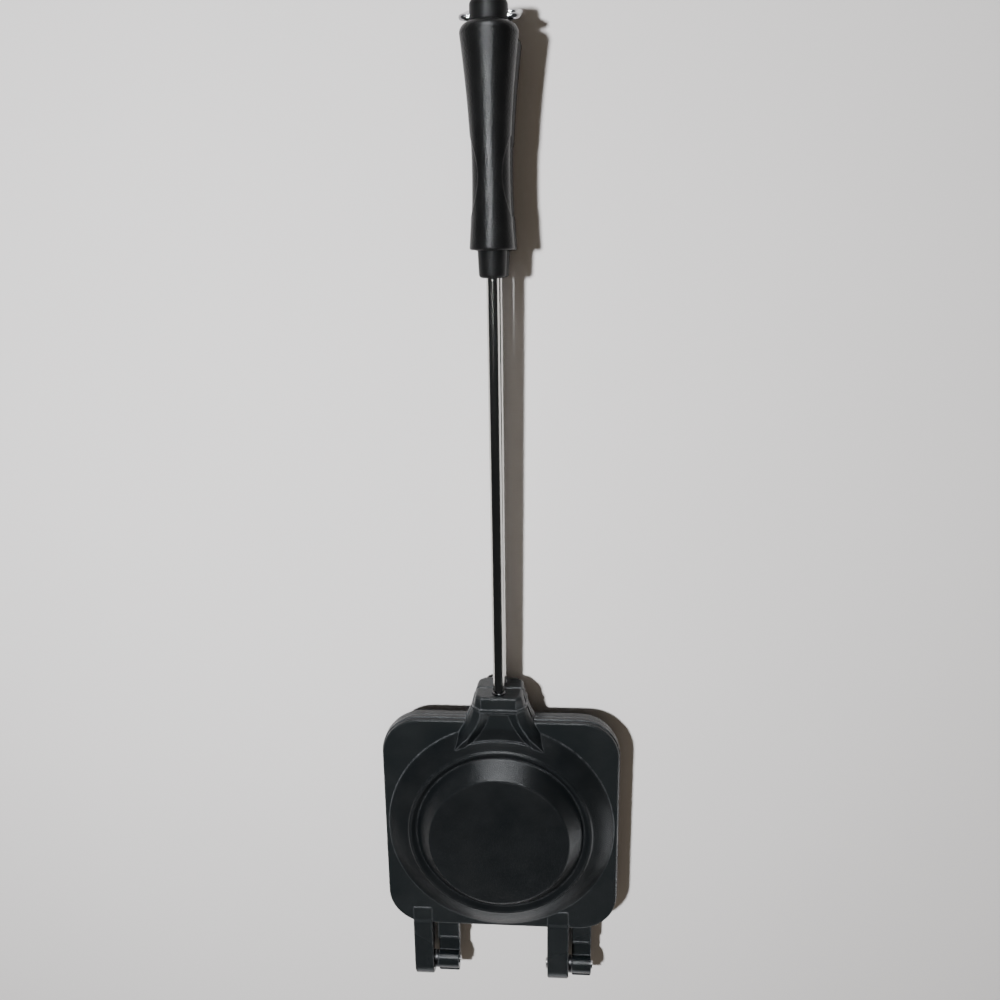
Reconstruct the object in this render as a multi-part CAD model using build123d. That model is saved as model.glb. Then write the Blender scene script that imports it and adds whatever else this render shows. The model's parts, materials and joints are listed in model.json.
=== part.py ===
from build123d import *
from math import asin, cos, degrees, hypot, radians, sin, sqrt, tan
import os

# Pie iron: two like castings hinged at the far end, each on a long rod with a grip, and a wire
# bail that latches the two handles together.
#
# Iron frame, used while building: origin at the middle of the plates on the parting plane, +X right,
# +Y towards the handles, +Z out of the upper casting. The lower half is the upper one turned half a
# turn about +Y. Row frame, used for the written parts: the closed iron lying at rest, origin at the
# middle of the lower casting's flat disc face. All sizes are in millimetres.

# ---- Plates ----------------------------------------------------------------------------------
PARTING_GAP = 0.3        # between the two castings where they meet
PLATE_SIDE = 140.0       # square flange
PLATE_CORNER_R = 23.0
FLANGE_TOP = 6.8         # height of the flange face above the parting plane
LIP_PROUD = 0.6          # the flange's lower band stands out this far
LIP_TOP = 3.2
FLANGE_EDGE_R = 1.3
FLANGE_WALL = 3.2
PERIMETER_LAND = 4.0     # width of the contact face round the edge

DISC_R = 41.1            # flat top of the dish
DISC_TOP = 22.8
DISC_EDGE_R = 1.4
CREASE_R = 50.0          # foot of the cone
CREASE_TOP = 12.6
CREASE_FILLET = 0.8
BEAD_IN_R = 53.2         # raised bead between crease and shoulder
BEAD_OUT_R = 54.3
BEAD_TOP = 14.9
BEAD_EDGE_R = 0.9
BEAD_FOOT_R = 55.2
BEAD_FOOT_TOP = 13.9
SHOULDER_MID_R = 61.0    # the shoulder bulges through this corner
SHOULDER_MID_TOP = 11.35
SHOULDER_BULGE_R = 42.0
SHOULDER_R = 67.2        # foot of the shoulder
SHOULDER_TOP = 7.5
STEP_R = 67.8            # small step down to the flange
DISH_WALL = 3.2
WALL_SLOPE = 22.0        # degrees; half the turn of the cone's inner corners
CAVITY_MOUTH_R = 57.5    # pie cavity at the parting plane
CAVITY_LEDGE_R = 53.0    # where the cavity's side wall meets its ledge
CRIMP_LAND = 4.5         # contact ring round the cavity
CAVITY_CORNER_R = 2.5

# ---- Neck boss: side lines are (half width, distance from the middle of the plates) -------------
BOSS_END_Y = 88.7
BOSS_TOP = 14.4
BOSS_LEVELS = (
    (7.2, ((13.5, BOSS_END_Y), (15.8, 79.5), (18.6, 72.5), (22.4, 66.0), (25.7, 60.0), (28.6, 54.0))),
    (10.8, ((13.2, BOSS_END_Y), (14.6, 79.5), (16.5, 72.5), (19.6, 66.0), (23.1, 60.0), (26.8, 54.0))),
    (BOSS_TOP, ((10.4, BOSS_END_Y), (10.4, 79.5), (12.4, 72.5), (16.0, 66.0), (20.1, 60.0), (24.4, 54.0))),
)                        # height of each level and its side line; the last is the ridge
BOSS_BREAK_R = 3.0       # rounding where the flank changes its lean
BOSS_END_R = 1.8
BOSS_PARTING_CHAMFER = 0.8
BOSS_FOOT_R = 59.4       # the legs run out on the shoulder here
BOSS_FOOT_Z = 12.0
BOSS_RUNOUT_R = 65.5     # and start to fall from here
BAND_Y = 80.8            # raised bead across the boss
BAND_WIDTH = 1.9
BAND_PROUD = 0.6
RIDGE_LAND = 0.5         # flat left on each ridge beside the recessed panel
PANEL_FLOOR = 10.2
PANEL_EDGE = ((5.1, 76.6), (7.9, 69.8), (11.3, 63.9), (15.2, 58.7), (19.6, 53.7))
PANEL_END_R = 60.2       # the panel is cut this far into the shoulder

# ---- Hinge -----------------------------------------------------------------------------------
PIN_REACH = 31.8         # pin axis beyond the flange's edge
PIN_R = 2.1
PIN_CLEARANCE = 0.05
PIN_HEAD_R = 3.2
PIN_HEAD = 1.0
PIN_HEAD_EDGE_R = 0.4
PIN_NOSE_R = 2.5
PIN_NOSE = 1.1
PIN_NOSE_EDGE_R = 0.8
BARREL_R = 5.2
ARM_OUT_Z = 8.5          # outer face of an arm, and radius of its rounded end
ARM_ROOT_REACH = 16.6    # solid root of an arm beyond the flange's edge
ARM_WEB_Z = 3.1          # inner face of the thin web between root and barrel
ARM_STEP_RUN = 1.6
ARM_PAD_Z = 7.3          # low pad where the arm leaves the flange
ARM_PAD_START = 11.4     # the pad starts and ends this far inside the flange's edge
ARM_PAD_END = 3.0
ARM_PAD_RISE_RUN = 1.8
ARM_ROOT_START = 18.0    # the arm is rooted this far inside the flange's edge
OUTER_ARM_INSET = 14.6   # outboard face of the outer arm in from the flange's side
OUTER_ARM_WIDTH = 12.0
INNER_ARM_WIDTH = 13.3
ARM_GAP = 2.1            # between the two arms of a pair
ARM_EDGE_R = 1.2
ARM_RIB_R = 0.9          # small half-round rib across the end of an arm's root
ARM_RIB_INSET = 1.0
SPACER_CLEARANCE = 0.1

# ---- Handles ---------------------------------------------------------------------------------
ROD_R = 3.25
ROD_AXIS_Z = 6.9         # where the rod leaves the boss
HANDLE_SPLAY = 1.23      # degrees that each handle leans away from the parting plane
THREAD_R = 3.0
THREAD_DEPTH = 18.0      # in the boss
THREAD_CLEARANCE = 0.05
FACE_GAP = 0.1           # keeps the tilted collar and rod shoulder off the boss face
COLLAR_R = 3.8
COLLAR_HEIGHT = 0.9
COLLAR_EDGE_R = 0.3
FERRULE_START = 232.6    # distances along the handle from the boss face
FERRULE_LENGTH = 13.7
FERRULE_START_R = 6.85
FERRULE_END_R = 7.4
FERRULE_EDGE_R = 2.0
ROD_SHOULDER = 5.5       # the rod is turned down this far inside the ferrule
GRIP_LENGTH = 103.3
GRIP_START_R = 11.5
GRIP_WAIST_R = 9.8
GRIP_WAIST_AT = 38.0
GRIP_SWELL_R = 14.2
GRIP_SWELL_AT = 98.6
GRIP_EDGE_R = 1.2
GRIP_SHOULDER_RUN = 5.0   # rounded shoulder between the swell and the grip's end face
GRIP_SHOULDER_FULL = 1.3
GRIP_SHOULDER_DROP = 1.6
THUMB_AT = 34.5          # oval hollows on both sides of the grip
THUMB_LENGTH = 38.0
THUMB_WIDTH = 15.2
THUMB_DEPTH = 0.4
SEAT_R = 7.0             # counterbore in the grip's end
SEAT_DEPTH = 3.5
WASHER_R = 6.8
WASHER_THICKNESS = 1.2
NUT_FLATS = 10.0
NUT_HEIGHT = 5.0
ROD_PROUD = 1.0          # rod end beyond the nut
ROD_END_R = 0.5
NUT_CORNER_R = 0.6
CAP_R = 9.2
CAP_LENGTH = 9.9
CAP_WALL = 3.0
CAP_EDGE_R = 2.6
CAP_INNER_R = 0.8
CAP_SPIGOT = 2.0
CAP_SPIGOT_CLEARANCE = 0.1

# ---- Latch bail ------------------------------------------------------------------------------
WIRE_R = 1.5
BAIL_CLEARANCE = 0.08
BAIL_AT = 2.4            # pivot holes above the cap's seat
BAIL_OUTER_HALF = 14.6
BAIL_HOOK_R = 2.9        # bend from pivot end to leg
BAIL_CORNER_R = 5.0
BAIL_NECK_GAP = 1.2      # between crossbar and the lower cap when latched
BAIL_TIP_GAP = 0.2       # the pivot ends stand this far proud inside the cap's wall
BAIL_REST_LEAN = 16.0    # degrees from latched, with the crossbar clear of the lower cap

# ---- Derived ---------------------------------------------------------------------------------
PARTING_LOW = PARTING_GAP / 2
PLATE_HALF = PLATE_SIDE / 2
PIN_Y = -(PLATE_HALF + PIN_REACH)
OUTER_ARM_X = PLATE_HALF - OUTER_ARM_INSET - OUTER_ARM_WIDTH
INNER_ARM_X = OUTER_ARM_X - ARM_GAP - INNER_ARM_WIDTH
GRIP_START = FERRULE_START + FERRULE_LENGTH
GRIP_END = GRIP_START + GRIP_LENGTH
ROD_SHOULDER_AT = FERRULE_START + ROD_SHOULDER
WASHER_AT = GRIP_END - SEAT_DEPTH
NUT_AT = WASHER_AT + WASHER_THICKNESS
ROD_END = NUT_AT + NUT_HEIGHT + ROD_PROUD
BAIL_PIVOT = GRIP_END + BAIL_AT
HALF_TURN = Rot(0, 180, 0)
HANDLE_PLANE = Plane(
    origin=(0, BOSS_END_Y, ROD_AXIS_Z),
    x_dir=(1, 0, 0),
    z_dir=(0, cos(radians(HANDLE_SPLAY)), sin(radians(HANDLE_SPLAY))),
)


def on_handle(distance):
    """Point on the upper handle's axis, this far from the boss face."""
    return HANDLE_PLANE.from_local_coords(Vector(0, 0, distance))


def rounded_face(points):
    """Face in the sketch plane through (x, y, corner radius) points."""
    face = make_face(Polyline(*[(x, y) for x, y, _ in points], close=True))
    for x, y, radius in points:
        if radius:
            corner = face.vertices().sort_by_distance((x, y, 0))[0]
            face = fillet(corner, radius)
    return face


def turned(points):
    """Solid of revolution about Z from (radius, height, corner radius) points."""
    return revolve(Plane.XZ * rounded_face(points), Axis.Z)


# ---- Castings --------------------------------------------------------------------------------
def flange():
    """Square rounded flange: a proud lower band under a filleted upper band."""
    band_side = PLATE_SIDE + 2 * LIP_PROUD
    band = RectangleRounded(band_side, band_side, PLATE_CORNER_R + LIP_PROUD)
    lower = extrude(Pos(0, 0, PARTING_LOW) * band, LIP_TOP - PARTING_LOW)
    plate = RectangleRounded(PLATE_SIDE, PLATE_SIDE, PLATE_CORNER_R)
    upper = extrude(Pos(0, 0, PARTING_LOW) * plate, FLANGE_TOP - PARTING_LOW)
    upper = fillet(upper.faces().sort_by(Axis.Z)[-1].edges(), FLANGE_EDGE_R)
    lower = chamfer(lower.faces().sort_by(Axis.Z)[-1].edges(), LIP_PROUD / 2)
    return lower + upper


def dish():
    """Outer form of the round pan: disc, cone, crease, bead, bulging shoulder and step."""
    return turned([
        (0, PARTING_LOW, 0), (STEP_R, PARTING_LOW, 0), (STEP_R, SHOULDER_TOP - 0.2, 0.2),
        (SHOULDER_R, SHOULDER_TOP, 0.4), (SHOULDER_MID_R, SHOULDER_MID_TOP, SHOULDER_BULGE_R),
        (BEAD_FOOT_R, BEAD_FOOT_TOP, 0.6), (BEAD_OUT_R, BEAD_TOP, BEAD_EDGE_R),
        (BEAD_IN_R, BEAD_TOP, 0.8), (CREASE_R, CREASE_TOP, CREASE_FILLET),
        (DISC_R, DISC_TOP, DISC_EDGE_R), (0, DISC_TOP, 0),
    ])


def cavity():
    """Pie cavity inside one half, with the outer form's wall kept all round."""
    floor_z = DISC_TOP - DISH_WALL
    ledge_z = CREASE_TOP - DISH_WALL
    inset = DISH_WALL * tan(radians(WALL_SLOPE))
    return turned([
        (0, -1, 0), (CAVITY_MOUTH_R, -1, 0), (CAVITY_MOUTH_R, PARTING_GAP, 0),
        (CAVITY_LEDGE_R, ledge_z, CAVITY_CORNER_R), (CREASE_R - inset, ledge_z, 1.0),
        (DISC_R - inset, floor_z, CAVITY_CORNER_R), (0, floor_z, 0),
    ])


def corner_relief():
    """Shallow hollows under the flange corners, between crimp ring and perimeter land."""
    side = PLATE_SIDE - 2 * PERIMETER_LAND
    outline = RectangleRounded(side, side, PLATE_CORNER_R - PERIMETER_LAND)
    ring = Circle(CAVITY_MOUTH_R + CRIMP_LAND)
    return extrude(Pos(0, 0, -1) * (outline - ring), 1 + FLANGE_TOP - FLANGE_WALL)


def between_sides(side, z):
    """Face at height z between a side line, smooth through its points, and its mirror image."""
    right = Spline(*side)
    left = Spline(*[(-half, y) for half, y in side])
    return Pos(0, 0, z) * make_face([right, Line(right @ 1, left @ 1), left, Line(left @ 0, right @ 0)])


def boss_form(proud=0.0):
    """Neck boss: upright below, leaning in above in two stages, its skin moved out by a distance."""
    levels = [(z, [(half + proud, y) for half, y in side]) for z, side in BOSS_LEVELS]
    levels[-1] = (BOSS_TOP + proud, levels[-1][1])
    foot_z, foot_side = levels[0]
    form = extrude(between_sides(foot_side, PARTING_LOW), foot_z - PARTING_LOW)
    for (low_z, low_side), (high_z, high_side) in zip(levels, levels[1:]):
        form += loft([between_sides(low_side, low_z), between_sides(high_side, high_z)], ruled=True)
    return form


def panel():
    """Recessed panel between the legs: it widens from its floor to the ridges on both sides."""
    ridge = BOSS_LEVELS[-1][1][1:]
    sections = []
    for z in (PANEL_FLOOR, BOSS_TOP + 2 * BAND_PROUD):
        rise = (z - PANEL_FLOOR) / (BOSS_TOP - PANEL_FLOOR)
        side = []
        for (floor_half, floor_y), (ridge_half, ridge_y) in zip(PANEL_EDGE, ridge):
            half = floor_half + rise * (ridge_half - RIDGE_LAND - floor_half)
            side.append((half, floor_y + rise * (ridge_y - floor_y)))
        sections.append(between_sides(side, z))
    return loft(sections, ruled=True)


def neck_boss():
    """Flared boss that takes the rod, with a bead across it and two ridged legs."""
    block = boss_form()
    for z, _ in BOSS_LEVELS[:-1]:
        breaks = block.edges().filter_by(lambda e: abs(e.center().Z - z) < 0.01)
        block = fillet(breaks.filter_by(Axis.X, reverse=True), BOSS_BREAK_R)
    end_rim = block.faces().sort_by(Axis.Y)[-1].edges().sort_by(Axis.Z)
    block = fillet(end_rim[1:], BOSS_END_R)
    foot = block.faces().sort_by(Axis.Y)[-1].edges().sort_by(Axis.Z)[0]
    block = chamfer(foot, BOSS_PARTING_CHAMFER)
    lip_side = [(half + LIP_PROUD, y) for half, y in BOSS_LEVELS[0][1]]
    lip_side[0] = (lip_side[0][0], BOSS_END_Y - BOSS_END_R)
    lip = extrude(between_sides(lip_side, PARTING_LOW), LIP_TOP - PARTING_LOW)
    slab = Pos(0, BAND_Y, 0) * Box(4 * BOSS_END_Y, BAND_WIDTH, 4 * BOSS_TOP)
    band = boss_form(BAND_PROUD) & slab
    runout = turned([
        (0, -1, 0), (BOSS_FOOT_R, -1, 0), (BOSS_FOOT_R, BOSS_FOOT_Z, 0),
        (BOSS_RUNOUT_R, BOSS_TOP, 0), (BOSS_RUNOUT_R, DISC_TOP, 0), (0, DISC_TOP, 0),
    ])
    return block + lip + band - panel() - runout


def arm(x_low, width):
    """One hinge arm: root block, thin web and barrel, with a rounded outer end."""
    root_y = ARM_ROOT_START - PLATE_HALF
    root_end_y = -PLATE_HALF - ARM_ROOT_REACH
    pad_start_y = ARM_PAD_START - PLATE_HALF
    pad_end_y = ARM_PAD_END - PLATE_HALF
    under_z = FLANGE_TOP - 1
    web_y = PIN_Y + sqrt(BARREL_R**2 - ARM_WEB_Z**2)
    inner = Polyline(
        (root_y, under_z), (root_y, PARTING_LOW), (root_end_y, PARTING_LOW),
        (root_end_y - ARM_STEP_RUN, ARM_WEB_Z), (web_y, ARM_WEB_Z),
    )
    barrel = ThreePointArc((web_y, ARM_WEB_Z), (PIN_Y, -BARREL_R), (PIN_Y - BARREL_R, 0))
    ledge = Line((PIN_Y - BARREL_R, 0), (PIN_Y - ARM_OUT_Z, 0))
    corner = ARM_OUT_Z * sqrt(0.5)
    end = ThreePointArc((PIN_Y - ARM_OUT_Z, 0), (PIN_Y - corner, corner), (PIN_Y, ARM_OUT_Z))
    outer = Polyline(
        (PIN_Y, ARM_OUT_Z), (pad_end_y - ARM_PAD_RISE_RUN, ARM_OUT_Z), (pad_end_y, ARM_PAD_Z),
        (pad_start_y, ARM_PAD_Z), (pad_start_y + 1, under_z), (root_y, under_z),
    )
    profile = make_face([inner, barrel, ledge, end, outer])
    for y, z, radius in (
        (root_end_y, PARTING_LOW, 0.8), (root_end_y - ARM_STEP_RUN, ARM_WEB_Z, 1.2),
        (pad_end_y - ARM_PAD_RISE_RUN, ARM_OUT_Z, 1.6), (pad_end_y, ARM_PAD_Z, 0.8),
        (pad_start_y, ARM_PAD_Z, 0.3),
    ):
        profile = fillet(profile.vertices().sort_by_distance((y, z, 0))[0], radius)
    solid = extrude(Plane.YZ.offset(x_low) * profile, width)
    rim = solid.edges().filter_by(
        lambda e: e.center().Z > ARM_OUT_Z * 0.6 and e.center().Y < pad_end_y - 2 and e.length > 5
    ).filter_by(Axis.X, reverse=True)
    rib = Cylinder(ARM_RIB_R, width - 2 * ARM_RIB_INSET)
    rib = Pos(x_low + width / 2, root_end_y + ARM_RIB_R, PARTING_LOW + ARM_RIB_R / 4) * Rot(0, 90, 0) * rib
    return fillet(rim, ARM_EDGE_R) + rib


def pin_bore(x_low, width):
    """Hole for a hinge pin through one arm."""
    centre = (x_low + width / 2, PIN_Y, 0)
    return Pos(*centre) * Rot(0, 90, 0) * Cylinder(PIN_R + PIN_CLEARANCE, width + 2)


def casting():
    """Upper half casting: flange, dish, boss, one outer and one inner hinge arm."""
    body = flange() + dish() + neck_boss() - (panel() - Cylinder(PANEL_END_R, 4 * BOSS_TOP))
    under_dish = Cylinder(BEAD_FOOT_R, 2 * DISC_TOP)
    for x_low, width in (
        (-OUTER_ARM_X - OUTER_ARM_WIDTH, OUTER_ARM_WIDTH), (INNER_ARM_X, INNER_ARM_WIDTH)
    ):
        body += arm(x_low, width) - under_dish
        body -= pin_bore(x_low, width)
    body -= HANDLE_PLANE.location * Cylinder(THREAD_R + THREAD_CLEARANCE, 2 * THREAD_DEPTH)
    return body - cavity() - corner_relief()


# ---- Hinge hardware --------------------------------------------------------------------------
def hinge_pin(x_low, x_high):
    """Pin through one outer and one inner arm: flat head at -X, riveted nose at +X."""
    grip_length = x_high - x_low
    tip = grip_length + PIN_NOSE
    shank = turned([
        (0, -PIN_HEAD, 0), (PIN_HEAD_R, -PIN_HEAD, PIN_HEAD_EDGE_R), (PIN_HEAD_R, 0, 0), (PIN_R, 0, 0),
        (PIN_R, grip_length, 0), (PIN_NOSE_R, grip_length, 0),
        (PIN_NOSE_R, tip, PIN_NOSE_EDGE_R), (0, tip, 0),
    ])
    return Pos(x_low, PIN_Y, 0) * Rot(0, 90, 0) * shank


def hinge_spacer(x_low):
    """Ring that fills the gap between an outer and an inner arm."""
    ring = Circle(BARREL_R) - Circle(PIN_R + PIN_CLEARANCE)
    ring = extrude(ring, ARM_GAP - 2 * SPACER_CLEARANCE)
    return Pos(x_low + SPACER_CLEARANCE, PIN_Y, 0) * Rot(0, 90, 0) * ring


# ---- Handle parts, each about its own axis with the boss face at zero -------------------------
def rod():
    """Steel rod, threaded into the boss at one end and through the grip at the other."""
    return turned([
        (0, -THREAD_DEPTH + 0.5, 0), (THREAD_R, -THREAD_DEPTH + 0.5, ROD_END_R), (THREAD_R, FACE_GAP, 0),
        (ROD_R, FACE_GAP, 0), (ROD_R, ROD_SHOULDER_AT, 0), (THREAD_R, ROD_SHOULDER_AT, 0),
        (THREAD_R, ROD_END, ROD_END_R), (0, ROD_END, 0),
    ])


def rod_collar():
    """Small ring round the rod against the boss face."""
    bore = ROD_R + THREAD_CLEARANCE
    top = FACE_GAP + COLLAR_HEIGHT
    return turned([(bore, FACE_GAP, 0), (COLLAR_R, FACE_GAP, 0), (COLLAR_R, top, COLLAR_EDGE_R), (bore, top, 0)])


def ferrule():
    """Plain tapered sleeve in front of the grip, seated on the rod's shoulder."""
    wide = ROD_R + THREAD_CLEARANCE
    narrow = THREAD_R + THREAD_CLEARANCE
    return turned([
        (wide, FERRULE_START, 0), (FERRULE_START_R, FERRULE_START, FERRULE_EDGE_R),
        (FERRULE_END_R, GRIP_START, 0), (narrow, GRIP_START, 0),
        (narrow, ROD_SHOULDER_AT, 0), (wide, ROD_SHOULDER_AT, 0),
    ])


def grip_side(offset=0.0):
    """Side curve of the grip from ferrule to swell, drawn inwards by an offset."""
    return Spline(
        (GRIP_START_R - offset, GRIP_START),
        (GRIP_WAIST_R - offset, GRIP_START + GRIP_WAIST_AT),
        (GRIP_SWELL_R - offset, GRIP_START + GRIP_SWELL_AT),
        tangents=[(-0.09, 1), (0, 1), (0.12, 1)],
    )


def grip_form(offset=0.0):
    """Solid of the grip's outer form, drawn inwards by an offset."""
    side = grip_side(offset)
    shoulder = ThreePointArc(
        (GRIP_SWELL_R - offset, GRIP_START + GRIP_SWELL_AT),
        (GRIP_SWELL_R - offset - GRIP_SHOULDER_FULL, GRIP_END - GRIP_SHOULDER_DROP),
        (GRIP_SWELL_R - offset - GRIP_SHOULDER_RUN, GRIP_END),
    )
    rest = Polyline(
        shoulder @ 1, (0, GRIP_END), (0, GRIP_START), (GRIP_START_R - offset, GRIP_START)
    )
    return revolve(Plane.XZ * make_face([side, shoulder, rest]), Axis.Z)


def grip():
    """Waisted grip with an oval hollow on each side and a counterbore for nut and washer."""
    body = grip_form()
    rim = body.edges().filter_by(GeomType.CIRCLE).sort_by(Axis.Z)[0]
    body = fillet(rim, GRIP_EDGE_R)
    oval = Plane.YZ * Pos(0, GRIP_START + THUMB_AT) * Ellipse(THUMB_WIDTH / 2, THUMB_LENGTH / 2)
    hollow = extrude(oval, GRIP_SWELL_R, both=True) - grip_form(THUMB_DEPTH)
    bore = Pos(0, 0, GRIP_START) * extrude(Circle(THREAD_R + THREAD_CLEARANCE), GRIP_LENGTH)
    seat = Pos(0, 0, WASHER_AT) * extrude(Circle(SEAT_R), SEAT_DEPTH + 1)
    return body - hollow - bore - seat


def grip_washer():
    """Plain washer at the bottom of the grip's counterbore."""
    ring = Circle(WASHER_R) - Circle(THREAD_R + THREAD_CLEARANCE)
    return Pos(0, 0, WASHER_AT) * extrude(ring, WASHER_THICKNESS)


def grip_nut():
    """Hexagon nut that clamps the grip and ferrule against the rod's shoulder."""
    corner_r = NUT_FLATS / sqrt(3)
    blank = turned([
        (0, NUT_AT, 0), (corner_r, NUT_AT, 0), (corner_r, NUT_AT + NUT_HEIGHT, NUT_CORNER_R),
        (0, NUT_AT + NUT_HEIGHT, 0),
    ])
    prism = Pos(0, 0, NUT_AT) * extrude(RegularPolygon(corner_r, 6), NUT_HEIGHT)
    bore = Pos(0, 0, NUT_AT) * extrude(Circle(THREAD_R + THREAD_CLEARANCE), NUT_HEIGHT)
    return (blank & prism) - bore


def end_cap():
    """Hollow cap over the nut, with a spigot in the counterbore and side holes for the bail."""
    inner_r = CAP_R - CAP_WALL
    spigot_r = SEAT_R - CAP_SPIGOT_CLEARANCE
    top = GRIP_END + CAP_LENGTH
    shell = turned([
        (inner_r, GRIP_END - CAP_SPIGOT, 0), (spigot_r, GRIP_END - CAP_SPIGOT, 0),
        (spigot_r, GRIP_END, 0), (CAP_R, GRIP_END, 0), (CAP_R, top, CAP_EDGE_R), (0, top, 0),
        (0, top - CAP_WALL, 0), (inner_r, top - CAP_WALL, CAP_INNER_R),
    ])
    holes = Pos(0, 0, BAIL_PIVOT) * Rot(0, 90, 0) * Cylinder(WIRE_R + BAIL_CLEARANCE, 4 * CAP_R)
    return shell, shell - holes


def latch_bail():
    """Square wire loop, its ends turned in as pivots; drawn hanging straight down from its pivot."""
    leg_x = BAIL_OUTER_HALF - WIRE_R
    tip_x = CAP_R - CAP_WALL + BAIL_TIP_GAP
    drop = on_handle(BAIL_PIVOT).Z * 2 + CAP_R + BAIL_NECK_GAP + WIRE_R
    route = FilletPolyline(
        (-tip_x, 0, 0), (-leg_x, 0, 0), (-leg_x, 0, -drop), (leg_x, 0, -drop), (leg_x, 0, 0), (tip_x, 0, 0),
        radius=[BAIL_HOOK_R, BAIL_CORNER_R, BAIL_CORNER_R, BAIL_HOOK_R],
    )
    section = Plane(origin=route @ 0, z_dir=route % 0) * Circle(WIRE_R)
    wire = sweep(section, path=route)
    return Pos(*on_handle(BAIL_PIVOT)) * Rot(BAIL_REST_LEAN, 0, 0) * wire


# ---- Rest attitude ---------------------------------------------------------------------------
def rest_attitude():
    """Placement of the closed iron lying on its lower disc's edge and the lower grip's swell."""
    swell = on_handle(GRIP_START + GRIP_SWELL_AT)
    drop = swell.Z + GRIP_SWELL_R - DISC_TOP
    reach = hypot(swell.Y + DISC_R, drop)
    lean = degrees(asin(max(0.0, drop) / reach))
    return Rot(lean, 0, 0) * Pos(0, 0, DISC_TOP)


def main():
    """Build every piece in the iron frame, set it in the row frame and write its STEP file."""
    os.makedirs("parts", exist_ok=True)
    half = casting()
    plain_cap, holed_cap = end_cap()
    handle_parts = {
        "rod": rod(), "rod_collar": rod_collar(), "ferrule": ferrule(), "grip": grip(),
        "grip_washer": grip_washer(), "grip_nut": grip_nut(),
    }
    pieces = {"upper_plate": half, "lower_plate": HALF_TURN * half}
    for name, solid in handle_parts.items():
        pieces["upper_" + name] = HANDLE_PLANE.location * solid
        pieces["lower_" + name] = HALF_TURN * HANDLE_PLANE.location * solid
    pieces["upper_end_cap"] = HANDLE_PLANE.location * holed_cap
    pieces["lower_end_cap"] = HALF_TURN * HANDLE_PLANE.location * plain_cap
    arm_end = OUTER_ARM_X + OUTER_ARM_WIDTH
    pieces["left_hinge_pin"] = hinge_pin(-arm_end, -INNER_ARM_X)
    pieces["right_hinge_pin"] = hinge_pin(INNER_ARM_X, arm_end)
    pieces["left_hinge_spacer"] = hinge_spacer(-OUTER_ARM_X)
    pieces["right_hinge_spacer"] = hinge_spacer(INNER_ARM_X + INNER_ARM_WIDTH)
    pieces["latch_bail"] = latch_bail()
    attitude = rest_attitude()
    for name, solid in pieces.items():
        export_step(attitude * solid, f"parts/{name}.step")


main()
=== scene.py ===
"""Dresses a hinged pie iron and sets it in a plain studio.

The iron has coated castings, plated rods, moulded grips and small steel hardware. Its solids come
from the frame with their final form, so each piece only needs its finish.
"""

import json
import logging
import math
from dataclasses import dataclass, field
from enum import Enum

import bpy
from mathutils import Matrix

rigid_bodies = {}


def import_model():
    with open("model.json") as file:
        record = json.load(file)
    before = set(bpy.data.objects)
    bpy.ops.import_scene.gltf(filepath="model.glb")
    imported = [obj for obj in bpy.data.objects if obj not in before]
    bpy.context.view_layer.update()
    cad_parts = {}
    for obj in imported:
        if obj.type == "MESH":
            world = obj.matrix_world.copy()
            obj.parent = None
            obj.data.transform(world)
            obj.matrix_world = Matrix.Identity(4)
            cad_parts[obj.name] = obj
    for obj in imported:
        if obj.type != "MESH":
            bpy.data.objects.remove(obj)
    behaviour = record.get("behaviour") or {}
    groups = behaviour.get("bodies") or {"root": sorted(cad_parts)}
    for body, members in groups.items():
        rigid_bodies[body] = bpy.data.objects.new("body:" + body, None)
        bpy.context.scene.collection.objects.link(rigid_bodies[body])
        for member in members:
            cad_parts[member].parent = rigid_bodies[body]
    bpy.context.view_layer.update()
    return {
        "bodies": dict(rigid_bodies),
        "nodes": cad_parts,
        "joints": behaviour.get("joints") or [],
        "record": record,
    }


log = logging.getLogger("pie_iron")

MILLIMETRE = 0.001
PER_MILLIMETRE = 1.0 / MILLIMETRE
Colour = tuple[float, float, float]
Point = tuple[float, float, float]
Span = tuple[float, float]

# From nothing to all, and from all to nothing.
WHOLE: Span = (0.0, 1.0)
WHOLE_BACKWARDS: Span = (1.0, 0.0)
DUST_COLOUR: Colour = (0.35, 0.34, 0.32)


class Axis(Enum):
    """The way that a metal piece's fine lines run: how their pattern is scaled in X, Y and Z."""

    ALONG_ROD = (1.0, 0.03, 1.0)
    AROUND = (0.06, 1.0, 0.06)
    NONE = (1.0, 1.0, 1.0)


class Reach(Enum):
    """What a studio lamp does: it lights surfaces, or it is only mirrored in them."""

    LIGHT_ONLY = (True, False)
    MIRRORED_ONLY = (False, True)


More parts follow.
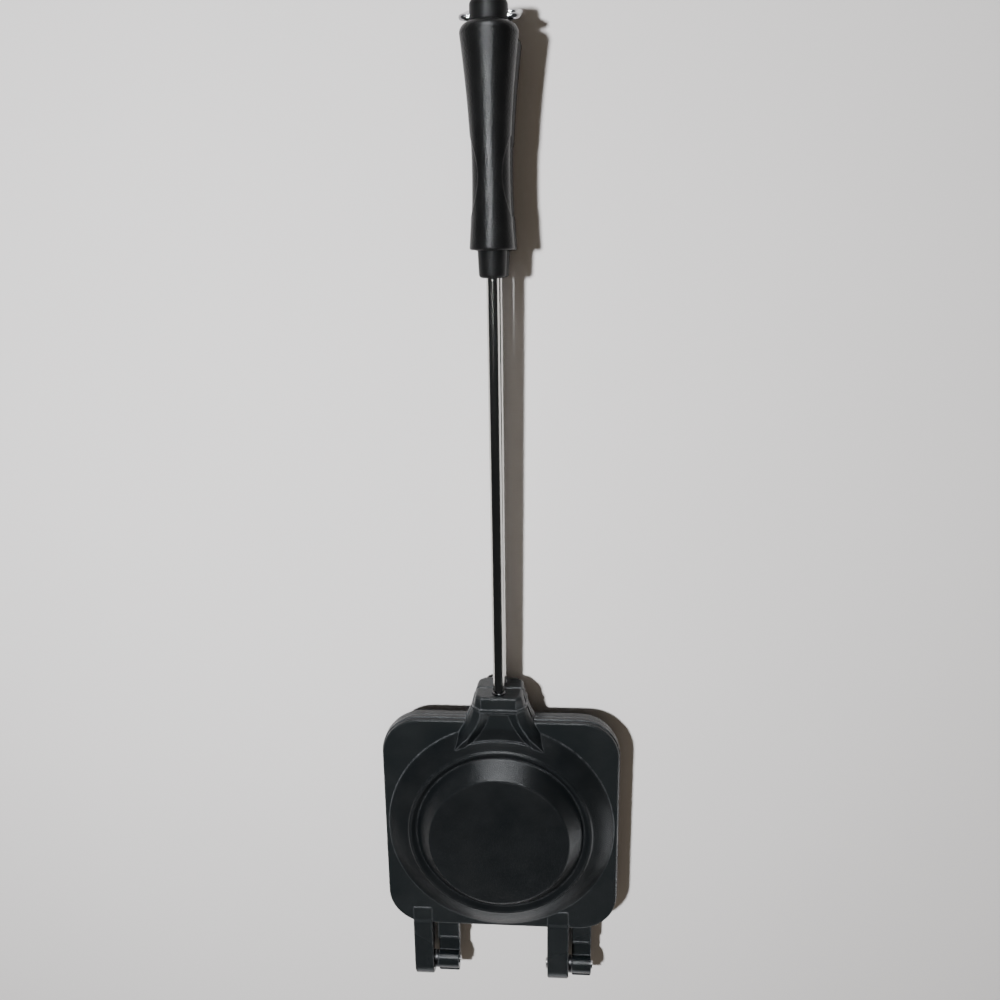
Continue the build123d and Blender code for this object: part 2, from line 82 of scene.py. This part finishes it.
# ---- Node helpers --------------------------------------------------------------------------
@dataclass
class Tree:
    """A node tree being drawn, for a material or for a shared effect.

    Args:
        nodes: the tree's nodes.
        links: the tree's links.
    """

    nodes: bpy.types.bpy_prop_collection
    links: bpy.types.bpy_prop_collection

    def add(self, kind: str, settings: dict | None = None, **inputs: object) -> bpy.types.Node:
        """Adds a node.

        Args:
            kind: the node's Blender type.
            settings: properties of the node itself.
            **inputs: a value or an output socket for each named input; a space is written as _.

        Returns:
            The new node.
        """
        node = self.nodes.new(kind)
        for name, value in (settings or {}).items():
            setattr(node, name, value)
        for name, value in inputs.items():
            self.feed(node.inputs[name.replace("_", " ")], value)
        return node

    def feed(self, socket: bpy.types.NodeSocket, value: object) -> None:
        """Links an output to a socket, or sets the socket's own value."""
        if isinstance(value, bpy.types.NodeSocket):
            self.links.new(value, socket)
        else:
            socket.default_value = value

    def maths(self, operation: str, first: object, second: object) -> bpy.types.NodeSocket:
        """Result of a Math node on two values or sockets."""
        node = self.add("ShaderNodeMath", {"operation": operation})
        self.feed(node.inputs[0], first)
        self.feed(node.inputs[1], second)
        return node.outputs[0]

    def vectors(self, operation: str, first: object, second: object) -> bpy.types.Node:
        """Vector Math node on two vectors or sockets."""
        node = self.add("ShaderNodeVectorMath", {"operation": operation})
        self.feed(node.inputs[0], first)
        self.feed(node.inputs[1], second)
        return node

    def ramp(self, value: object, source: Span, target: Span) -> bpy.types.NodeSocket:
        """A value moved from one range to another and clamped there."""
        node = self.add("ShaderNodeMapRange", {"clamp": True}, Value=value)
        for name, number in zip(("From Min", "From Max", "To Min", "To Max"), source + target):
            node.inputs[name].default_value = number
        return node.outputs["Result"]

    def blend(self, share: object, first: object, second: object) -> bpy.types.NodeSocket:
        """Colour between two colours, by a share from 0 to 1."""
        node = self.add("ShaderNodeMix", {"data_type": "RGBA"})
        self.feed(node.inputs["Factor"], share)
        colour_inputs = [socket for socket in node.inputs if socket.type == "RGBA"]
        for socket, colour in zip(colour_inputs, (first, second)):
            is_socket = isinstance(colour, bpy.types.NodeSocket)
            self.feed(socket, colour if is_socket else (*colour, 1.0))
        return next(socket for socket in node.outputs if socket.type == "RGBA")

    def place_on_piece(self) -> bpy.types.NodeSocket:
        """The shaded point in the piece's own coordinates."""
        return self.add("ShaderNodeTexCoord").outputs["Object"]

    def noise(
        self, place: object, scale: object, detail: float, roughness: float = 0.5
    ) -> bpy.types.NodeSocket:
        """Cloudy noise from 0 to 1.

        Args:
            place: where it is read.
            scale: its cells per metre.
            detail: how many finer layers it has.
            roughness: the strength of the finer layers.

        Returns:
            The noise.
        """
        settings = {"Vector": place, "Scale": scale, "Detail": detail, "Roughness": roughness}
        return self.add("ShaderNodeTexNoise", **settings).outputs["Fac"]

    def bump(
        self, height: object, depth: float, base: object, strength: float = 1.0
    ) -> bpy.types.NodeSocket:
        """Normal of a surface with a relief.

        Args:
            height: the relief, from 0 to about 1.
            depth: what a height of 1 stands for, in millimetres.
            base: the normal that the relief stands on.
            strength: the share of the relief that shows.

        Returns:
            The normal.
        """
        settings = {"Strength": strength, "Distance": depth * MILLIMETRE}
        return self.add("ShaderNodeBump", Height=height, Normal=base, **settings).outputs["Normal"]


# ---- Shared effects ------------------------------------------------------------------------
@dataclass
class SharedEffects:
    """Shader node groups that more than one finish uses, each built once.

    Args:
        pebble_smoothing: how far neighbouring pebbles melt together, from 0 to 1.
        pebble_span: distances from a pebble's middle at which its dome is highest and lowest, in
            grains.
        crumb_fineness: how much finer the crumbs are than the pebbles that they lie on.
        patch_scale: cells of the soft patches, per metre.
        patch_span: noise values where a patch starts and is full.
        rubbed_radius: how far rubbing rounds an edge, in millimetres.
        rubbed_span: cosines of the surface's turn within that radius where the edge mask starts and
        is full.
        wear_samples: rays that the edge mask spends on finding an edge.
        chip_scale: cells of the pattern that breaks the lighter edges up, per metre.
        chip_span: noise values where that pattern starts and is full.
        film_scale: cells of the dust film, per metre.
        film_span: how far a face must look up for the film to start and to be full.
        speck_scale: cells in which a speck of dust may lie, per metre.
        speck_span: radii of a speck's solid middle and its soft edge, in cells.
        speck_choice: a cell's random number, from 0 to 1, where specks start and are full.
        groups: the groups built so far, by name.
    """

    pebble_smoothing: float = 0.15
    pebble_span: Span = (0.0, 0.8)
    crumb_fineness: float = 1.7
    patch_scale: float = 55.0
    patch_span: Span = (0.3, 0.7)
    rubbed_radius: float = 1.0
    rubbed_span: Span = (0.995, 0.93)
    wear_samples: int = 6
    chip_scale: float = 240.0
    chip_span: Span = (0.42, 0.62)
    film_scale: float = 38.0
    film_span: Span = (0.2, 0.95)
    speck_scale: float = 420.0
    speck_span: Span = (0.03, 0.06)
    speck_choice: Span = (0.93, 0.94)
    groups: dict[str, bpy.types.NodeTree] = field(default_factory=dict)

    def group(
        self, name: str, inputs: dict[str, float], outputs: dict[str, str]
    ) -> tuple[Tree, bpy.types.Node, bpy.types.Node]:
        """Starts a node group.

        Args:
            name: the group's name.
            inputs: its number inputs and their usual values.
            outputs: its outputs and their socket types.

        Returns:
            The group's Tree, its input node and its output node.
        """
        made = bpy.data.node_groups.new(name, "ShaderNodeTree")
        number = "NodeSocketFloat"
        for label, usual in inputs.items():
            socket = made.interface.new_socket(label, in_out="INPUT", socket_type=number)
            socket.default_value = usual
        for label, kind in outputs.items():
            made.interface.new_socket(label, in_out="OUTPUT", socket_type=kind)
        self.groups[name] = made
        tree = Tree(made.nodes, made.links)
        return tree, tree.add("NodeGroupInput"), tree.add("NodeGroupOutput")

    def build(self) -> None:
        """Builds every shared effect."""
        self.build_pebble_skin()
        self.build_soft_patches()
        self.build_edge_wear()
        self.build_fine_dust()
        self.build_drawn_lines()

    def build_pebble_skin(self) -> None:
        """Height of a close pebble skin, as a spark-eroded mould or a sprayed coating leaves."""
        tree, given, result = self.group(
            "pebble_skin", {"Grain Size": 0.5, "Unevenness": 0.4}, {"Height": "NodeSocketFloat"}
        )
        place = tree.place_on_piece()
        scale = tree.maths("DIVIDE", PER_MILLIMETRE, given.outputs["Grain Size"])
        pebbles = tree.add(
            "ShaderNodeTexVoronoi", {"feature": "SMOOTH_F1"},
            Vector=place, Scale=scale, Smoothness=self.pebble_smoothing,
        )
        dome = tree.ramp(pebbles.outputs["Distance"], self.pebble_span, WHOLE_BACKWARDS)
        crumbs = tree.noise(place, tree.maths("MULTIPLY", scale, self.crumb_fineness), detail=3.0)
        crumbs = tree.maths("MULTIPLY", crumbs, given.outputs["Unevenness"])
        tree.feed(result.inputs["Height"], tree.maths("ADD", dome, crumbs))

    def build_soft_patches(self) -> None:
        """Mask of soft patches, a finger wide, by which a finish varies."""
        tree, _, result = self.group("soft_patches", {}, {"Mask": "NodeSocketFloat"})
        cloud = tree.noise(tree.place_on_piece(), self.patch_scale, detail=4.0, roughness=0.6)
        tree.feed(result.inputs["Mask"], tree.ramp(cloud, self.patch_span, WHOLE))

    def build_edge_wear(self) -> None:
        """Mask of edges painted lighter, as wear and as painted highlight, and a softened normal.
        """
        tree, given, result = self.group(
            "wear_and_highlight_edges", {"Patchiness": 0.6},
            {"Mask": "NodeSocketFloat", "Normal": "NodeSocketVector"},
        )
        rounded = tree.add(
            "ShaderNodeBevel", {"samples": self.wear_samples},
            Radius=self.rubbed_radius * MILLIMETRE,
        ).outputs["Normal"]
        surface = tree.add("ShaderNodeNewGeometry").outputs["Normal"]
        turn = tree.vectors("DOT_PRODUCT", rounded, surface).outputs["Value"]
        edge = tree.ramp(turn, self.rubbed_span, WHOLE)
        chips = tree.noise(tree.place_on_piece(), self.chip_scale, detail=5.0, roughness=0.7)
        chips = tree.ramp(chips, self.chip_span, WHOLE)
        lost = tree.maths("MULTIPLY", chips, given.outputs["Patchiness"])
        kept = tree.maths("SUBTRACT", 1.0, lost)
        tree.feed(result.inputs["Mask"], tree.maths("MULTIPLY", edge, kept))
        tree.feed(result.inputs["Normal"], rounded)

    def build_fine_dust(self) -> None:
        """Mask of fine dust: sparse specks, and a thin film on what faces up at rest."""
        tree, given, result = self.group(
            "fine_dust", {"Film": 0.04, "Specks": 0.5}, {"Mask": "NodeSocketFloat"}
        )
        piece = tree.add("ShaderNodeTexCoord")
        place = piece.outputs["Object"]
        upward = tree.add("ShaderNodeSeparateXYZ", Vector=piece.outputs["Normal"]).outputs["Z"]
        cloud = tree.noise(place, self.film_scale, detail=6.0)
        film = tree.maths("MULTIPLY", tree.ramp(upward, self.film_span, WHOLE), cloud)
        film = tree.maths("MULTIPLY", film, given.outputs["Film"])
        cells = tree.add("ShaderNodeTexVoronoi", Vector=place, Scale=self.speck_scale)
        speck = tree.ramp(cells.outputs["Distance"], self.speck_span, WHOLE_BACKWARDS)
        lot = tree.add("ShaderNodeSeparateColor", Color=cells.outputs["Color"]).outputs["Red"]
        speck = tree.maths("MULTIPLY", speck, tree.ramp(lot, self.speck_choice, WHOLE))
        speck = tree.maths("MULTIPLY", speck, given.outputs["Specks"])
        tree.feed(result.inputs["Mask"], tree.maths("MAXIMUM", film, speck))

    def build_drawn_lines(self) -> None:
        """Height of the lines that drawing or turning leaves, long one way and close the other."""
        stretches = ("Along X", "Along Y", "Along Z")
        tree, given, result = self.group(
            "drawn_lines", {**dict.fromkeys(stretches, 1.0), "Line Width": 0.3},
            {"Height": "NodeSocketFloat"},
        )
        stretch = tree.add("ShaderNodeCombineXYZ")
        for socket, label in zip(stretch.inputs, stretches):
            tree.feed(socket, given.outputs[label])
        drawn = tree.vectors("MULTIPLY", tree.place_on_piece(), stretch.outputs["Vector"])
        scale = tree.maths("DIVIDE", PER_MILLIMETRE, given.outputs["Line Width"])
        lines = tree.noise(drawn.outputs["Vector"], scale, detail=3.0)
        tree.feed(result.inputs["Height"], lines)

    def place(self, tree: Tree, name: str, **inputs: object) -> bpy.types.Node:
        """Places a shared effect in a material.

        Args:
            tree: the material's tree.
            name: the effect's name.
            **inputs: values or sockets for its inputs; a space is written as _.

        Returns:
            The group node, whose outputs are the effect's.
        """
        return tree.add("ShaderNodeGroup", {"node_tree": self.groups[name]}, **inputs)


def start_material(name: str) -> tuple[bpy.types.Material, Tree, bpy.types.Node]:
    """Makes an empty node material.

    Args:
        name: the material's name.

    Returns:
        The material, its Tree and its Principled BSDF.
    """
    material = bpy.data.materials.new(name)
    material.use_nodes = True
    tree = Tree(material.node_tree.nodes, material.node_tree.links)
    return material, tree, material.node_tree.nodes["Principled BSDF"]


def band(middle: float, half: float) -> Span:
    """Ends of a band, from its middle and half its width."""
    return middle - half, middle + half


# ---- Finishes ------------------------------------------------------------------------------
@dataclass(frozen=True)
class BakedCoating:
    """Satin black non-stick coating, sprayed and baked on cast aluminium.

    Args:
        name: the material's name.
        colour: the coating on the pan, darker than the painted rim.
        rim_painted_reflection: rim, neck and arms, painted lighter than the pan as a painted
            reflection.
        rubbed_and_sheen: lighter colour of the edges, where the coating is thinned by use, with a
            painted highlight.
        pan_radius: how far the darker pan colour reaches from the pan's centre, in millimetres.
        pan_fade: half the width of the change there, in millimetres.
        hinge_reach: where the barrels start, measured from the pan's centre, in millimetres.
        hinge_fade: half the width of the change there, in millimetres.
        barrel_polish: how much less rough the openings have left the barrels.
        edge_polish: how much less rough rubbing has left the edges.
        patch_share: how much of the lighter edge colour a full patch takes.
        sheen_and_wear_share: how much of the lighter edge colour an edge takes, as wear and painted
            highlight.
        patchiness: how well the kept stretches of an edge are kept, from 0 to 1.
        roughness: roughness of the glossiest patches, from 0 to 1.
        spread: how much rougher the dullest patches are.
        grain: size of the sprayed texture, in millimetres.
        unevenness: height of the crumbs on that texture, as a share of its own.
        depth: height of the sprayed texture, in millimetres.
        bending: refractive index, which sets how strongly the coating mirrors.
        film: strength of the dust film.
        specks: strength of the dust specks.
    """

    name: str = "baked_coating"
    colour: Colour = (0.0010, 0.0022, 0.0032)
    rim_painted_reflection: Colour = (0.0032, 0.0052, 0.0064)
    rubbed_and_sheen: Colour = (0.085, 0.092, 0.100)
    pan_radius: float = 67.0
    pan_fade: float = 1.0
    hinge_reach: float = 96.0
    hinge_fade: float = 2.0
    barrel_polish: float = 0.12
    edge_polish: float = 0.10
    patch_share: float = 0.02
    sheen_and_wear_share: float = 0.8
    patchiness: float = 0.75
    roughness: float = 0.28
    spread: float = 0.05
    grain: float = 0.45
    unevenness: float = 0.6
    depth: float = 0.07
    bending: float = 1.30
    film: float = 0.03
    specks: float = 0.25

    def build(self, effects: SharedEffects) -> bpy.types.Material:
        """Builds the coating from the shared effects."""
        material, tree, surface = start_material(self.name)
        skin = effects.place(
            tree, "pebble_skin", Grain_Size=self.grain, Unevenness=self.unevenness
        ).outputs["Height"]
        patches = effects.place(tree, "soft_patches").outputs["Mask"]
        wear_and_sheen_node = effects.place(tree, "wear_and_highlight_edges", Patchiness=self.patchiness)
        edges = wear_and_sheen_node.outputs["Mask"]
        dust = effects.place(tree, "fine_dust", Film=self.film, Specks=self.specks).outputs["Mask"]
        distance = self.distance_from_pan(tree)
        rim = tree.ramp(distance, band(self.pan_radius, self.pan_fade), WHOLE)
        hinge = band(self.hinge_reach, self.hinge_fade)
        barrels = tree.ramp(distance, hinge, (0.0, self.barrel_polish))

        # Painted reflection: the rim, neck and arms get a lighter colour than the pan, standing in
        # for reflected light.
        ground = tree.blend(rim, self.colour, self.rim_painted_reflection)
        patchy = tree.blend(tree.maths("MULTIPLY", patches, self.patch_share), ground, self.rubbed_and_sheen)
        # Edges painted lighter: partly the coating thinned by use, partly a painted highlight along
        # each edge.
        worn_and_highlight = tree.blend(tree.maths("MULTIPLY", edges, self.sheen_and_wear_share), patchy, self.rubbed_and_sheen)
        tree.feed(surface.inputs["Base Color"], tree.blend(dust, worn_and_highlight, DUST_COLOUR))

        gloss = tree.ramp(patches, WHOLE, (self.roughness, self.roughness + self.spread))
        polish = tree.maths("ADD", tree.maths("MULTIPLY", edges, self.edge_polish), barrels)
        tree.feed(surface.inputs["Roughness"], tree.maths("SUBTRACT", gloss, polish))
        relief = tree.bump(skin, self.depth, wear_and_sheen_node.outputs["Normal"])
        tree.feed(surface.inputs["Normal"], relief)
        surface.inputs["IOR"].default_value = self.bending
        return material

    def distance_from_pan(self, tree: Tree) -> bpy.types.NodeSocket:
        """Distance from the pan's centre line, in millimetres."""
        seen_from_above = (PER_MILLIMETRE, PER_MILLIMETRE, 0.0)
        flat = tree.vectors("MULTIPLY", tree.place_on_piece(), seen_from_above).outputs["Vector"]
        length = tree.add("ShaderNodeVectorMath", {"operation": "LENGTH"}, Vector=flat)
        return length.outputs["Value"]


@dataclass(frozen=True)
class MouldedPlastic:
    """Black heat-proof plastic straight from the mould, with or without a pebble skin.

    Args:
        name: the material's name.
        colour: the plastic.
        handled: how much lighter hands have left a full patch, as a factor.
        rubbed_and_sheen: lighter colour of the edges, where hands smooth the plastic, with a
            painted highlight.
        sheen_and_wear_share: how much of the lighter edge colour an edge takes, as wear and painted
            highlight.
        patchiness: how well the kept stretches of an edge are kept, from 0 to 1.
        roughness: its usual roughness, from 0 to 1.
        spread: the change of roughness in its glossiest and in its dullest patches.
        grain: size of the pebbles, in millimetres.
        unevenness: height of the crumbs on the pebbles, as a share of their own.
        depth: height of the pebbles, in millimetres.
        bending: refractive index, which sets how strongly the skin mirrors.
        film: strength of the dust film.
        specks: strength of the dust specks.
    """

    name: str
    colour: Colour = (0.0012, 0.0015, 0.0018)
    handled: float = 1.3
    rubbed_and_sheen: Colour = (0.016, 0.017, 0.018)
    sheen_and_wear_share: float = 0.35
    patchiness: float = 0.7
    roughness: float = 0.35
    spread: Span = (-0.04, 0.06)
    grain: float = 1.0
    unevenness: float = 0.5
    depth: float = 0.08
    bending: float = 1.25
    film: float = 0.02
    specks: float = 0.2

    def build(self, effects: SharedEffects) -> bpy.types.Material:
        """Builds the plastic from the shared effects."""
        material, tree, surface = start_material(self.name)
        skin = effects.place(
            tree, "pebble_skin", Grain_Size=self.grain, Unevenness=self.unevenness
        ).outputs["Height"]
        patches = effects.place(tree, "soft_patches").outputs["Mask"]
        wear_and_sheen_node = effects.place(tree, "wear_and_highlight_edges", Patchiness=self.patchiness)
        dust = effects.place(tree, "fine_dust", Film=self.film, Specks=self.specks).outputs["Mask"]

        handled = tuple(self.handled * part for part in self.colour)
        ground = tree.blend(patches, self.colour, handled)
        edges = tree.maths("MULTIPLY", wear_and_sheen_node.outputs["Mask"], self.sheen_and_wear_share)
        # Edges painted lighter: partly wear from hands, partly a painted highlight along each edge.
        worn_and_highlight = tree.blend(edges, ground, self.rubbed_and_sheen)
        tree.feed(surface.inputs["Base Color"], tree.blend(dust, worn_and_highlight, DUST_COLOUR))

        smoothest, dullest = (self.roughness + change for change in self.spread)
        tree.feed(surface.inputs["Roughness"], tree.ramp(patches, WHOLE, (smoothest, dullest)))
        relief = tree.bump(skin, self.depth, wear_and_sheen_node.outputs["Normal"])
        tree.feed(surface.inputs["Normal"], relief)
        surface.inputs["IOR"].default_value = self.bending
        return material


@dataclass(frozen=True)
class BareMetal:
    """Plated, drawn or blackened steel.

    Args:
        name: the material's name.
        colour: the metal's own colour.
        roughness: roughness of its low lines, from 0 to 1.
        dulled: its colour where fingers and smoke have dulled it.
        dulled_span: values of the soft patches where dulling starts and is full.
        dulled_share: how much of the dulled colour a patch takes.
        dulled_gloss: how much rougher a dulled patch is.
        lines: the way that its fine lines run.
        line_width: width of those lines, in millimetres.
        line_span: heights of those lines between which their roughness changes.
        line_gloss: how much rougher the high lines are.
        line_depth: height of those lines, in millimetres.
        line_strength: the share of that height that shows.
    """

    name: str
    colour: Colour
    roughness: float
    dulled: Colour = (0.55, 0.54, 0.52)
    dulled_span: Span = (0.55, 1.0)
    dulled_share: float = 0.6
    dulled_gloss: float = 0.10
    lines: Axis = Axis.ALONG_ROD
    line_width: float = 0.25
    line_span: Span = (0.3, 0.7)
    line_gloss: float = 0.05
    line_depth: float = 0.05
    line_strength: float = 0.03

    def build(self, effects: SharedEffects) -> bpy.types.Material:
        """Builds the metal from the shared effects."""
        material, tree, surface = start_material(self.name)
        x, y, z = self.lines.value
        drawn = effects.place(
            tree, "drawn_lines", Along_X=x, Along_Y=y, Along_Z=z, Line_Width=self.line_width
        ).outputs["Height"]
        patches = effects.place(tree, "soft_patches").outputs["Mask"]
        softened = effects.place(tree, "wear_and_highlight_edges").outputs["Normal"]

        dull = tree.ramp(patches, self.dulled_span, (0.0, self.dulled_share))
        tree.feed(surface.inputs["Base Color"], tree.blend(dull, self.colour, self.dulled))
        surface.inputs["Metallic"].default_value = 1.0
        gloss = tree.ramp(drawn, self.line_span, (self.roughness, self.roughness + self.line_gloss))
        gloss = tree.maths("ADD", gloss, tree.maths("MULTIPLY", dull, self.dulled_gloss))
        tree.feed(surface.inputs["Roughness"], gloss)
        relief = tree.bump(drawn, self.line_depth, softened, self.line_strength)
        tree.feed(surface.inputs["Normal"], relief)
        return material


# ---- The iron's sub-assemblies -------------------------------------------------------------
def dress(frame: dict, names: list[str], material: bpy.types.Material) -> None:
    """Gives a finish to every material slot of the named pieces.

    Args:
        names: the pieces' node names.
        material: the finish.
    """
    for name in names:
        for slot in frame["nodes"][name].material_slots:
            slot.link = "OBJECT"
            slot.material = material
        log.info("%s: %s", name, material.name)


@dataclass
class Castings:
    """The two plates with their pans, necks and hinge arms.

    Args:
        coating: the finish of both plates.
    """

    coating: BakedCoating = BakedCoating()

    def build(self, frame: dict, effects: SharedEffects) -> None:
        """Dresses both plates."""
        dress(frame, ["upper_plate", "lower_plate"], self.coating.build(effects))


@dataclass
class Hinge:
    """The pins and rings that join the plates at the far end.

    Args:
        pin_steel: the finish of the pins.
        ring_steel: the finish of the rings between the arms.
    """

    pin_steel: BareMetal = BareMetal(
        "pin_steel", colour=(0.62, 0.62, 0.63), roughness=0.22,
        lines=Axis.NONE, line_strength=0.08,
    )
    ring_steel: BareMetal = BareMetal(
        "blackened_ring_steel", colour=(0.05, 0.05, 0.052), roughness=0.35,
        dulled=(0.03, 0.03, 0.03), lines=Axis.NONE, line_strength=0.1,
    )

    def build(self, frame: dict, effects: SharedEffects) -> None:
        """Dresses the pins and rings."""
        dress(frame, ["left_hinge_pin", "right_hinge_pin"], self.pin_steel.build(effects))
        dress(frame, ["left_hinge_spacer", "right_hinge_spacer"], self.ring_steel.build(effects))


@dataclass
class Handles:
    """Both rods with their collars, ferrules, grips, end fixings and caps.

    Args:
        rod_plating: the finish of the rods.
        collar_steel: the finish of the small rings where the rods leave the castings.
        smooth_plastic: the finish of ferrules and caps.
        grip_plastic: the finish of the grips.
        fixing_steel: the finish of the nuts and washers inside the grips.
    """

    rod_plating: BareMetal = BareMetal("rod_plating", colour=(0.56, 0.55, 0.53), roughness=0.11)
    collar_steel: BareMetal = BareMetal(
        "smoked_collar_steel", colour=(0.10, 0.10, 0.105), roughness=0.22,
        dulled=(0.05, 0.05, 0.05), lines=Axis.AROUND,
    )
    smooth_plastic: MouldedPlastic = MouldedPlastic(
        "smooth_plastic", roughness=0.45, grain=0.5, depth=0.006
    )
    grip_plastic: MouldedPlastic = MouldedPlastic("pebbled_grip_plastic")
    fixing_steel: BareMetal = BareMetal(
        "zinc_plated_steel", colour=(0.56, 0.57, 0.58), roughness=0.28,
        lines=Axis.AROUND, line_strength=0.15,
    )

    def build(self, frame: dict, effects: SharedEffects) -> None:
        """Dresses every piece of both handles."""
        finishes = {
            self.rod_plating: ("rod",),
            self.collar_steel: ("rod_collar",),
            self.smooth_plastic: ("ferrule", "end_cap"),
            self.grip_plastic: ("grip",),
            self.fixing_steel: ("grip_washer", "grip_nut"),
        }
        for finish, kinds in finishes.items():
            names = [f"{half}_{kind}" for half in ("upper", "lower") for kind in kinds]
            dress(frame, names, finish.build(effects))


@dataclass
class LatchBail:
    """The wire loop that holds the two grips together.

    Args:
        wire_plating: its finish.
    """

    wire_plating: BareMetal = BareMetal(
        "wire_plating", colour=(0.36, 0.36, 0.37), roughness=0.2,
        dulled=(0.25, 0.25, 0.25), lines=Axis.NONE,
    )

    def build(self, frame: dict, effects: SharedEffects) -> None:
        """Dresses the loop."""
        dress(frame, ["latch_bail"], self.wire_plating.build(effects))


# ---- Studio --------------------------------------------------------------------------------
@dataclass
class Lamp:
    """A soft square lamp that points at one spot.

    Args:
        name: the lamp's name.
        place: where it hangs, in metres.
        aim: the spot that it points at, in metres.
        width: its side, in metres.
        power: its power, in watts.
        reach: whether it lights surfaces or is mirrored in them.
        colour: its colour, daylight if none is given.
        spread: full angle of its beam, in degrees; a grid in front makes it narrow.
    """

    name: str
    place: Point
    aim: Point
    width: float
    power: float
    reach: Reach
    colour: Colour = (0.94, 0.97, 1.0)
    spread: float = 180.0

    def build(self) -> None:
        """Hangs the lamp."""
        bpy.ops.object.light_add(type="AREA", location=self.place)
        lamp = bpy.context.object
        lamp.name = self.name
        lamp.data.size = self.width
        lamp.data.energy = self.power
        lamp.data.color = self.colour
        lamp.data.spread = math.radians(self.spread)
        lamp.visible_diffuse, lamp.visible_glossy = self.reach.value
        away = [high - low for high, low in zip(self.place, self.aim)]
        tilt = math.atan2(math.hypot(away[0], away[1]), away[2])
        lamp.rotation_euler = (tilt, 0.0, math.atan2(away[0], -away[1]))


@dataclass
class Studio:
    """A plain pale surface, soft lamps, a dim room and the camera.

    Args:
        floor_side: side of the surface that the iron lies on, in metres.
        floor_level: its height, where the lower pan and grip touch it, in metres.
        floor_colour: its paint.
        floor_shade: how bright its faint darker patches are, as a share of the paint.
        floor_patch_scale: cells of those patches, per metre.
        floor_roughness: its roughness, from 0 to 1.
        room: brightness of the room around.
        room_colour: colour of that light.
        camera_place: where the camera stands, in metres.
        camera_turn: its turn about X, Y and Z, in degrees.
        lens: its focal length, in millimetres.
        sensor: width of its sensor, in millimetres.
        nearest: how near it still sees, in metres.
    """

    floor_side: float = 6.0
    floor_level: float = -0.0005
    floor_colour: Colour = (0.72, 0.72, 0.725)
    floor_shade: float = 0.96
    floor_patch_scale: float = 9.0
    floor_roughness: float = 0.9
    room: float = 0.025
    room_colour: Colour = (0.93, 0.96, 1.0)
    camera_place: Point = (0.03706, 0.32157, 0.50655)
    camera_turn: Point = (-13.9947, 4.0705, -0.6412)
    lens: float = 32.4
    sensor: float = 36.0
    nearest: float = 0.01

    def lamps(self) -> list[Lamp]:
        """The studio's lamps, each aimed at the iron's middle, its plate or its grips."""
        middle = (0.0, 0.17, 0.03)
        plate = (0.0, 0.0, 0.02)
        grips = (0.0, 0.40, 0.05)
        key = Lamp(
            "key_lamp", place=(-0.245, 0.322, 0.87), aim=middle, width=0.045, power=17.0,
            reach=Reach.LIGHT_ONLY, colour=(1.0, 0.985, 0.985),
        )
        ceiling = Lamp(
            "soft_ceiling", place=(0.3, 0.3, 2.4), aim=middle, width=2.6, power=9.0,
            reach=Reach.LIGHT_ONLY, colour=(1.0, 0.80, 0.60),
        )
        grip_lamp = Lamp(
            "grip_lamp", place=(-0.10, 0.45, 0.87), aim=grips, width=0.05, power=0.28,
            reach=Reach.MIRRORED_ONLY, spread=26.0,
        )
        far_lamp = Lamp(
            "far_lamp", place=(-0.05, 1.30, 0.86), aim=plate, width=0.20, power=36.0,
            reach=Reach.MIRRORED_ONLY,
        )
        right_panel = Lamp(
            "right_panel", place=(1.05, -0.73, 0.13), aim=plate, width=0.24, power=4.2,
            reach=Reach.MIRRORED_ONLY,
        )
        near_panel = Lamp(
            "near_panel", place=(0.0, -1.0, 0.25), aim=plate, width=0.5, power=2.4,
            reach=Reach.MIRRORED_ONLY,
        )
        return [key, ceiling, grip_lamp, far_lamp, right_panel, near_panel]

    def build(self) -> None:
        """Builds the surface, lamps, room and camera."""
        self.build_floor()
        for lamp in self.lamps():
            lamp.build()
        self.build_room()
        self.build_camera()

    def build_floor(self) -> None:
        """Lays the matt painted surface, faintly uneven as plaster is."""
        level = (0.0, 0.0, self.floor_level)
        bpy.ops.mesh.primitive_plane_add(size=self.floor_side, location=level)
        floor = bpy.context.object
        floor.name = "studio_floor"
        material, tree, surface = start_material("pale_plaster")
        cloud = tree.noise(tree.place_on_piece(), self.floor_patch_scale, detail=4.0)
        darker = tuple(self.floor_shade * part for part in self.floor_colour)
        tree.feed(surface.inputs["Base Color"], tree.blend(cloud, darker, self.floor_colour))
        surface.inputs["Roughness"].default_value = self.floor_roughness
        surface.inputs["Specular IOR Level"].default_value = 0.0
        floor.data.materials.append(material)

    def build_room(self) -> None:
        """Sets the dim, even light of the room."""
        world = bpy.data.worlds.new("dim_room")
        world.use_nodes = True
        back = world.node_tree.nodes["Background"]
        back.inputs["Color"].default_value = (*self.room_colour, 1.0)
        back.inputs["Strength"].default_value = self.room
        bpy.context.scene.world = world

    def build_camera(self) -> None:
        """Places the camera."""
        turn = tuple(math.radians(angle) for angle in self.camera_turn)
        bpy.ops.object.camera_add(location=self.camera_place, rotation=turn)
        camera = bpy.context.object
        camera.name = "studio_camera"
        camera.data.sensor_width = self.sensor
        camera.data.lens = self.lens
        camera.data.clip_start = self.nearest
        bpy.context.scene.camera = camera


def main() -> None:
    """Loads the iron, dresses it and sets the studio."""
    logging.basicConfig(level=logging.INFO, format="%(name)s: %(message)s")
    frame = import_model()
    bpy.ops.object.select_all(action="DESELECT")
    effects = SharedEffects()
    effects.build()
    for assembly in (Castings(), Hinge(), Handles(), LatchBail()):
        assembly.build(frame, effects)
        log.info("%s dressed", type(assembly).__name__)
    Studio().build()


if __name__ == "__main__":
    main()
